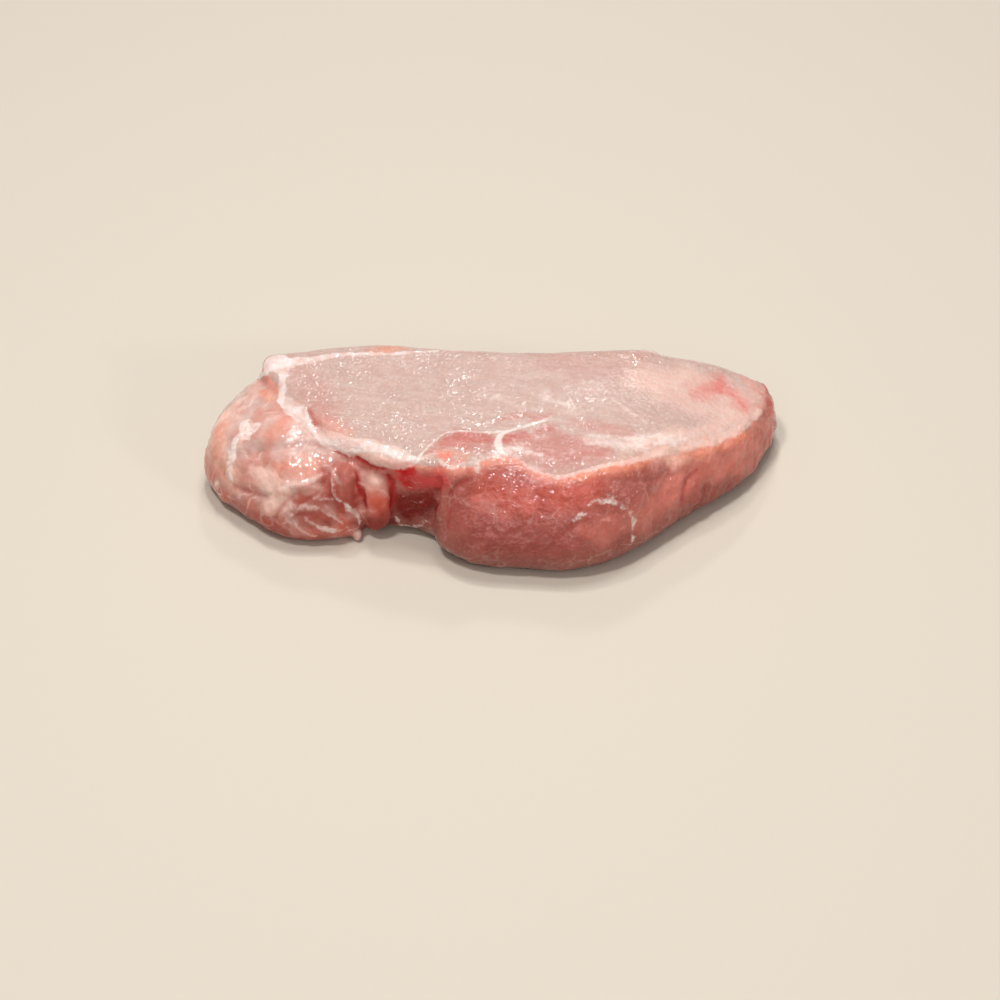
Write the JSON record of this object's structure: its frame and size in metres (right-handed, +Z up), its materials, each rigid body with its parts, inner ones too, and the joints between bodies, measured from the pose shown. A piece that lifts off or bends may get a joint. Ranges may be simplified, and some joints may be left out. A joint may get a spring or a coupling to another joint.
{
  "type": "raw pork chop",
  "caption": "Thick raw boneless pork loin chop lying flat: a large eye muscle with a folded fatty flap at one end and a notch between them.",
  "frame": {"origin": "centre of the chop's box, on the flat underside it rests on", "axes": "+X the long way, from the fatty flap to the pointed end; +Y from the notched edge to the straight edge; +Z up through the thickness"},
  "size_m": [0.1798, 0.0814, 0.0315],
  "materials": {
    "meat": "moist raw pork, pale pink with ivory fat seams; gloss_plastic stands in for wet meat"
  },
  "bodies": {
    "root": {"chop": "meat"}
  },
  "joints": []
}
